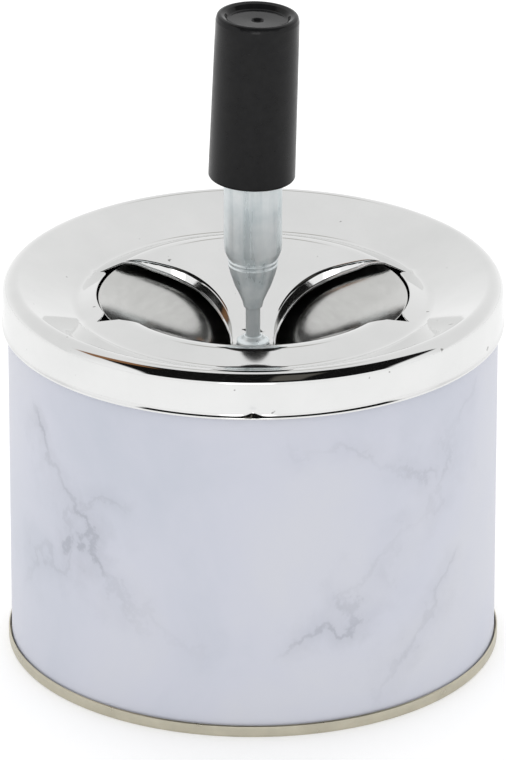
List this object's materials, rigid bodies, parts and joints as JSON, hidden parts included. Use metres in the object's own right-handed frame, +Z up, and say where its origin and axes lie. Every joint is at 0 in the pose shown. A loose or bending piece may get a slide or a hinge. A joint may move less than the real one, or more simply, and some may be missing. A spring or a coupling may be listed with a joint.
{
  "type": "push-down spinning ashtray",
  "caption": "Round table ashtray bin: marbled tin can, press-on chromed lid with two windows, and a spinning drop plate worked by a sprung black knob.",
  "frame": {"origin": "centre of the can's foot on the table", "axes": "+Z up along the can's axis, -Y towards the front nib of the lid, windows to the left and right at -X and +X"},
  "size_m": [0.095, 0.095, 0.1264],
  "materials": {
    "printed_tin": "printed pale marble pattern, satin varnish",
    "tin_base": "gold-lacquered tinplate, satin",
    "lid_chrome": "bright chrome plate",
    "rotor_steel": "satin polished steel",
    "zinc": "blue-white zinc plate",
    "spring_steel": "plain bright steel",
    "knob_plastic": "black moulded plastic, satin sides and glossy top"
  },
  "bodies": {
    "can": {"can_wall": "printed_tin", "can_bottom": "tin_base"},
    "lid": {"lid": "lid_chrome", "guide_tube": "zinc", "stem_rivet": "zinc", "foot_washer": "zinc", "backing_washer": "zinc", "drive_washer": "spring_steel", "spring_seat": "spring_steel", "return_spring": "spring_steel"},
    "knob": {"knob": "knob_plastic", "swivel_washer": "spring_steel"},
    "rotor": {"swivel_head": "spring_steel", "spindle": "spring_steel", "rotor_plate": "rotor_steel", "rotor_hub": "zinc", "lock_washer": "spring_steel", "spindle_nut": "zinc"}
  },
  "joints": [
    {"name": "lid_lift", "type": "slide", "parent": "can", "child": "lid", "axis": [0, 0, 1], "range_m": [0, 0.04]},
    {"name": "knob_press", "type": "slide", "parent": "lid", "child": "knob", "axis": [0, 0, -1], "range_m": [0, 0.012], "stiffness_N_per_m": 400, "springref_m": -0.006, "deforming": ["return_spring"]},
    {"name": "rotor_spin", "type": "hinge", "parent": "knob", "child": "rotor", "pos_m": [0, 0, 0.055], "axis": [0, 0, -1], "range_deg": [0, 240.5]}
  ],
  "couplings": [
    {"joint": "rotor_spin", "follows": "knob_press", "rad_per_m": 349.07}
  ]
}
